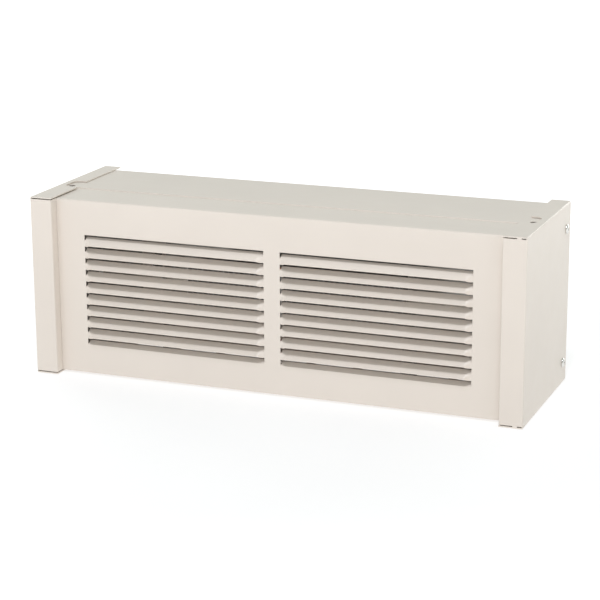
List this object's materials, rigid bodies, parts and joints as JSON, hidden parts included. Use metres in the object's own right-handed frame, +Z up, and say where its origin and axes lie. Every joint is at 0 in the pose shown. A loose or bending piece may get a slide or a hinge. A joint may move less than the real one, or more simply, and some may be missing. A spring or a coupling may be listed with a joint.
{
  "type": "electric baseboard heater",
  "caption": "Short wall-mounted electric convector with a louvred sheet-metal front, box-shaped end caps that slide off, and a finned heating element.",
  "frame": {"origin": "middle of the footprint, on the plane the end caps stand on", "axes": "+X along the heater's length, -Y out of the louvred front towards the room, +Z up"},
  "size_m": [0.547, 0.174, 0.1945],
  "materials": {
    "cover_paint": "semi-gloss baked enamel",
    "pan_paint": "semi-gloss baked enamel",
    "cap_paint": "semi-gloss baked enamel",
    "screw_zinc": "zinc plated screws",
    "zinc_plate": "zinc plated",
    "galvanised": "galvanised sheet",
    "bright_shield": "bright aluminised sheet",
    "sheath_steel": "heat-darkened steel",
    "fin_aluminium": "mill finish",
    "pin_steel": "nickel plated",
    "ceramic": "glazed ceramic",
    "white_nylon": "natural nylon",
    "rivet_steel": "plated",
    "copper_tube": "drawn copper",
    "spring_steel": "dark spring steel",
    "switch_black": "moulded phenolic",
    "brass_blade": "bright",
    "red_insulation": "silicone",
    "black_insulation": "silicone",
    "nut_orange": "moulded",
    "grommet_black": "moulded",
    "ground_green": "green enamel"
  },
  "bodies": {
    "heater": {"front_cover": "cover_paint", "back_pan": "pan_paint", "left_partition": "galvanised", "right_partition": "galvanised", "left_cap_bracket": "zinc_plate", "right_cap_bracket": "zinc_plate", "clip_nuts": "spring_steel", "knockout_discs": "pan_paint", "wall_rails": "galvanised", "heat_shield": "bright_shield", "element_sheath": "sheath_steel", "element_fins": "fin_aluminium", "terminal_pins": "pin_steel", "pin_insulators": "ceramic", "element_bushings": "white_nylon", "left_element_support": "galvanised", "right_element_support": "galvanised", "support_rivets": "rivet_steel", "partition_rivets": "rivet_steel", "limit_capillary": "copper_tube", "capillary_clips": "spring_steel", "capillary_grommet": "grommet_black", "limit_switch_body": "switch_black", "limit_switch_terminals": "brass_blade", "left_lead_wire": "black_insulation", "right_lead_wire": "red_insulation", "return_wire": "red_insulation", "wire_connectors": "nut_orange", "wire_grommets": "grommet_black", "ground_screws": "ground_green"},
    "left_cap": {"left_end_cap": "cap_paint", "left_cap_screws": "screw_zinc"},
    "right_cap": {"right_end_cap": "cap_paint", "right_cap_screws": "screw_zinc"}
  },
  "joints": [
    {"name": "left_cap_slide", "type": "slide", "parent": "heater", "child": "left_cap", "axis": [-1, 0, 0], "range_m": [0, 0.03]},
    {"name": "right_cap_slide", "type": "slide", "parent": "heater", "child": "right_cap", "axis": [1, 0, 0], "range_m": [0, 0.03]}
  ]
}
